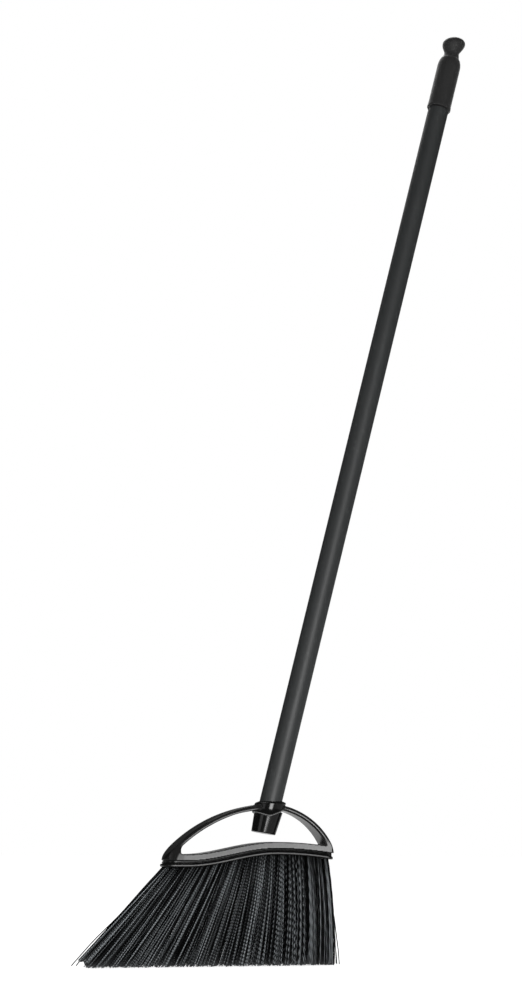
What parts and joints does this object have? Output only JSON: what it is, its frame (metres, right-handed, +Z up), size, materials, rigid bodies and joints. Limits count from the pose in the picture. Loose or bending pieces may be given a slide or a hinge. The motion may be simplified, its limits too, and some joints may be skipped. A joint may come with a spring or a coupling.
{
  "type": "lobby broom",
  "caption": "Upright lobby broom with an arched moulded head, fanned angled bristles, a threaded socket and a coated steel handle that screws out and ends in a hang-up grip.",
  "frame": {"origin": "on the floor under the middle of the broom's box, at the level of the bristle tips", "axes": "+Z up; X along the sweeping edge, with the handle leaning towards +X and the bristles fanning out towards -X; -Y is the front"},
  "size_m": [0.4058, 0.0348, 0.996],
  "materials": {
    "cap_plastic": "glossy black moulding",
    "block_plastic": "glossy black moulding",
    "tip_plastic": "matte black moulding",
    "coated_steel": "satin charcoal coating",
    "grip_rubber": "matte black, finely textured",
    "bristle": "dull dark slate filaments"
  },
  "bodies": {
    "head": {"head_cap": "cap_plastic", "bristle_block": "block_plastic", "tuft_strip_01": "bristle", "tuft_strip_02": "bristle", "tuft_strip_03": "bristle", "tuft_strip_04": "bristle", "tuft_strip_05": "bristle", "tuft_strip_06": "bristle", "tuft_strip_07": "bristle", "tuft_strip_08": "bristle", "tuft_strip_09": "bristle", "tuft_strip_10": "bristle", "tuft_strip_11": "bristle", "tuft_strip_12": "bristle", "tuft_strip_13": "bristle", "tuft_strip_14": "bristle", "tuft_strip_15": "bristle", "tuft_strip_16": "bristle", "tuft_strip_17": "bristle"},
    "grip": {"hang_grip": "grip_rubber"},
    "handle": {"handle_tube": "coated_steel", "threaded_tip": "tip_plastic"}
  },
  "joints": [
    {"name": "handle_draw", "type": "slide", "parent": "head", "child": "grip", "axis": [0.2419, 0, 0.9703], "range_m": [0, 0.02032]},
    {"name": "handle_screw", "type": "hinge", "parent": "grip", "child": "handle", "pos_m": [-0.01856, 0, 0.14934], "axis": [0.2419, 0, 0.9703], "range_deg": [0, 1440]}
  ],
  "couplings": [
    {"joint": "handle_screw", "follows": "handle_draw", "rad_per_m": 1236.8}
  ]
}
